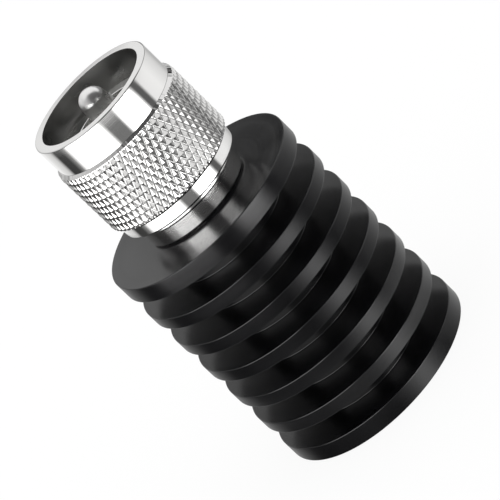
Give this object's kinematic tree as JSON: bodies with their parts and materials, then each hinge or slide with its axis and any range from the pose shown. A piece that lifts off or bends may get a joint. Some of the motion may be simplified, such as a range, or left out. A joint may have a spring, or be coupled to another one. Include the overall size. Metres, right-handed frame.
{
  "type": "coaxial terminator",
  "caption": "Coaxial terminator: screw-on male radio plug with a knurled captive nut on a black turned heat sink with disc fins.",
  "frame": {"origin": "centre of the flat face of the rear fin, on which the terminator stands", "axes": "+Z along the turning axis towards the mouth of the coupling nut; +X to the right and +Y away when seen from the front"},
  "size_m": [0.03, 0.03, 0.0562],
  "materials": {
    "black_anodise": "turned and anodised satin black",
    "nickel_plate": "turned and bright nickel plated",
    "knurled_nickel": "turned, diamond knurled and bright nickel plated",
    "pin_plate": "bright silver plate",
    "spring_steel": "bare spring steel",
    "bare_brass": "bare turned brass",
    "white_insulator": "waxy white insulating plastic",
    "ceramic": "unglazed white ceramic",
    "black_rubber": "soft black rubber"
  },
  "bodies": {
    "load": {"heat_sink": "black_anodise", "plug_body": "nickel_plate", "centre_pin": "pin_plate", "front_bead": "white_insulator", "bead_retainer": "nickel_plate", "rear_bead": "white_insulator", "resistor_rod": "ceramic", "front_cap": "bare_brass", "rear_cap": "bare_brass", "heat_sleeve": "ceramic", "earth_cup": "bare_brass", "disc_spring": "spring_steel", "body_seal": "black_rubber"},
    "nut_carrier": {"nut_snap_ring": "spring_steel"},
    "nut": {"coupling_nut": "knurled_nickel"}
  },
  "joints": [
    {"name": "nut_slide", "type": "slide", "parent": "load", "child": "nut_carrier", "axis": [0, 0, 1], "range_m": [0, 0.0035]},
    {"name": "nut_spin", "type": "hinge", "parent": "nut_carrier", "child": "nut", "pos_m": [0, 0, 0.0383], "axis": [0, 0, 1], "continuous": true}
  ]
}
